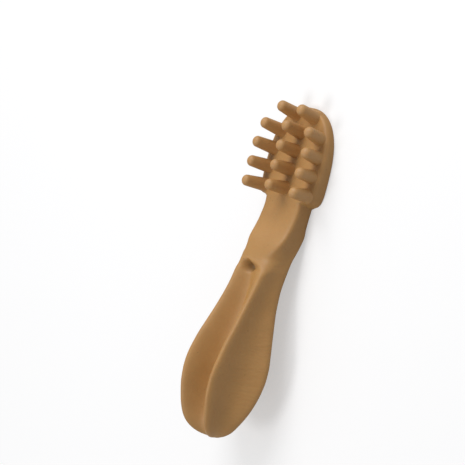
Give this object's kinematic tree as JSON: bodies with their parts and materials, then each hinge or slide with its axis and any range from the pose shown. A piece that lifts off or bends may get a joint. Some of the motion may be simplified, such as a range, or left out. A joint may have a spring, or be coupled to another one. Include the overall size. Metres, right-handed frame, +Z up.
{
  "type": "pet toothbrush",
  "caption": "Edible chew moulded in the shape of a toothbrush: a ridged bulb handle with a front groove, a slim flat neck and an oval head with blunt tapered bristles.",
  "frame": {"origin": "on the floor that the brush lies on, under the middle of its length and width", "axes": "+X from the butt of the handle to the tip of the head, +Z up out of the bristled face, +Y across"},
  "size_m": [0.1509, 0.0382, 0.0378],
  "materials": {
    "chew": "satin, slightly waxy moulded starch in tan, with faint mottling"
  },
  "bodies": {
    "root": {"handle": "chew", "neck": "chew", "head": "chew", "bristle_01": "chew", "bristle_02": "chew", "bristle_03": "chew", "bristle_04": "chew", "bristle_05": "chew", "bristle_06": "chew", "bristle_07": "chew", "bristle_08": "chew", "bristle_09": "chew", "bristle_10": "chew", "bristle_11": "chew", "bristle_12": "chew", "bristle_13": "chew", "bristle_14": "chew"}
  },
  "joints": []
}
